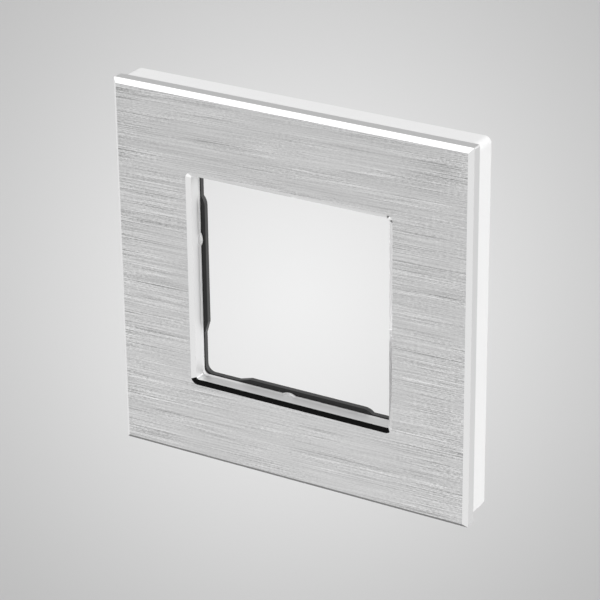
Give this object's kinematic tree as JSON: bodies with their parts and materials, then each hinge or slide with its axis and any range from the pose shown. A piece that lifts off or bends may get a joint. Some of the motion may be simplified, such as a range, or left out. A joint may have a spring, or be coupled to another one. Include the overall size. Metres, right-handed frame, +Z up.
{
  "type": "one-gang wall switch cover frame",
  "caption": "Square one-gang cover frame with a brushed metal face, a white carrier and a black steel support plate, open in the middle for a switch or socket insert.",
  "frame": {"origin": "centre of the frame on the wall's plane, which is the rear face of the support plate's flange", "axes": "+Z up and +X right as seen from the room; the front faces -Y and +Y goes into the wall"},
  "size_m": [0.086, 0.0092, 0.086],
  "materials": {
    "brushed_aluminium": "fine horizontal brushing, mirror-polished bevels",
    "white_moulding": "satin white moulded plastic",
    "black_steel": "satin black coating on pressed steel",
    "adhesive_foam": "thin double-sided foam tape"
  },
  "bodies": {
    "support": {"support_plate": "black_steel"},
    "cover": {"front_plate": "brushed_aluminium", "carrier_frame": "white_moulding", "bond_strip_left": "adhesive_foam", "bond_strip_bottom": "adhesive_foam", "bond_strip_right": "adhesive_foam", "bond_strip_top": "adhesive_foam", "snap_hook_upper_left": "white_moulding", "snap_hook_lower_left": "white_moulding", "snap_hook_upper_right": "white_moulding", "snap_hook_lower_right": "white_moulding"}
  },
  "joints": [
    {"name": "cover_pull", "type": "slide", "parent": "support", "child": "cover", "axis": [0, -1, 0], "range_m": [0, 0.02], "deforming": ["snap_hook_upper_left", "snap_hook_lower_left", "snap_hook_upper_right", "snap_hook_lower_right"]}
  ]
}
